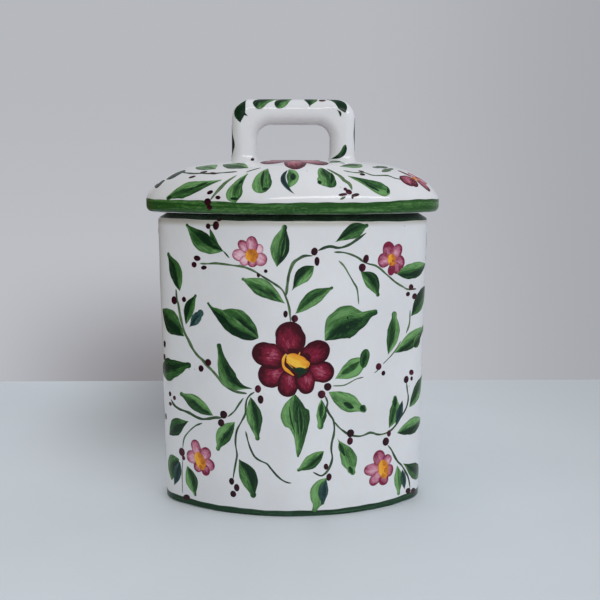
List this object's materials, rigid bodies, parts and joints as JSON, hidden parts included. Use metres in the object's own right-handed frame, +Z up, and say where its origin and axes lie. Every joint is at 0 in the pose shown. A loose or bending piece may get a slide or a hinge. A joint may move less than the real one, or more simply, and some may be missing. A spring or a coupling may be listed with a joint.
{
  "type": "biscuit jar",
  "caption": "Oval glazed ceramic storage jar with a lift-off domed lid, loop handle and painted flower and leaf decoration.",
  "frame": {"origin": "middle of the foot, on the surface that the jar stands on", "axes": "+Z up; +X along the jar's long side, in line with the handle; -Y towards the front"},
  "size_m": [0.153, 0.0994, 0.2102],
  "materials": {
    "jar_glaze": "gloss",
    "lid_glaze": "gloss",
    "seat_glaze": "gloss",
    "handle_glaze": "gloss",
    "green_paint": "gloss",
    "burgundy_paint": "gloss",
    "ochre_paint": "gloss",
    "bare_clay": "matte"
  },
  "bodies": {
    "jar": {"jar_body": "jar_glaze"},
    "lid": {"lid_dome": "lid_glaze", "lid_seat_ring": "seat_glaze", "lid_handle": "handle_glaze"}
  },
  "joints": [
    {"name": "lid_lift", "type": "slide", "parent": "jar", "child": "lid", "axis": [0, 0, 1], "range_m": [0, 0.08]}
  ]
}
